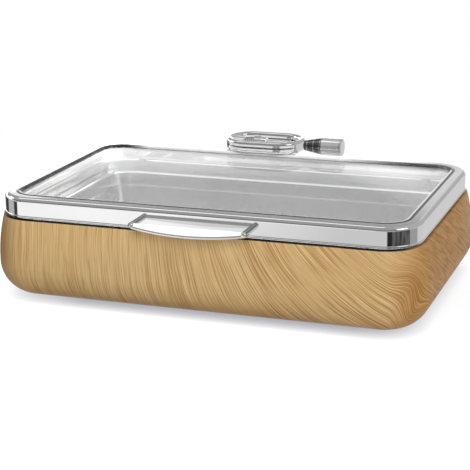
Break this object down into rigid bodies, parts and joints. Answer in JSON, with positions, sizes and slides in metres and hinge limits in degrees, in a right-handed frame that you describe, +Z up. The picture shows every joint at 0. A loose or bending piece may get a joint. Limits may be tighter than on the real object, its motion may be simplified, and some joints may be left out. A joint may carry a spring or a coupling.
{
  "type": "induction chafing dish",
  "caption": "Rectangular chafing dish for an induction hob: wood-effect casing, water pan, food pan and a hinged glass lid with handle and damped hinge.",
  "frame": {"origin": "middle of the induction plate's lower face, on the surface that the dish stands on", "axes": "+X along the long side to the user's right, +Y to the hinge at the back, +Z up"},
  "size_m": [0.589, 0.4303, 0.1633],
  "materials": {
    "wood_effect": "satin",
    "satin_steel": "satin",
    "aluminium": "matte",
    "ferritic_steel": "satin",
    "pan_steel": "satin",
    "dark_silicone": "matte",
    "polished_steel": "polished",
    "clear_glass": "polished",
    "clear_silicone": "satin",
    "chrome": "polished",
    "screw_steel": "satin",
    "spring_steel": "satin",
    "bronze": "matte",
    "black_plastic": "matte",
    "satin_cap": "satin"
  },
  "bodies": {
    "base": {"casing": "wood_effect", "water_pan": "satin_steel", "heat_spreader": "aluminium", "induction_plate": "ferritic_steel", "food_pan": "pan_steel", "feet": "dark_silicone", "hinge_bracket": "chrome", "bracket_saddle": "screw_steel", "bracket_screws": "screw_steel", "damper_sleeve": "screw_steel", "damper_bushes": "bronze", "damper_end_cap": "satin_cap"},
    "lid": {"lid_frame": "polished_steel", "lid_glass": "clear_glass", "glass_seal": "dark_silicone", "glass_retainer": "satin_steel", "retainer_studs": "screw_steel", "retainer_nuts": "screw_steel", "lid_bumpers": "clear_silicone", "handle": "chrome", "handle_washers": "screw_steel", "handle_screws": "screw_steel", "hinge_loop": "chrome", "loop_screws": "screw_steel", "hinge_axle": "chrome", "clamp_washer": "screw_steel", "spring_washers": "spring_steel", "knurled_collar": "chrome", "damper_rotor": "black_plastic", "axle_ring": "spring_steel"}
  },
  "joints": [
    {"name": "lid_hinge", "type": "hinge", "parent": "base", "child": "lid", "pos_m": [0, 0.1855, 0.1508], "axis": [-1, 0, 0], "range_deg": [0, 90]}
  ]
}
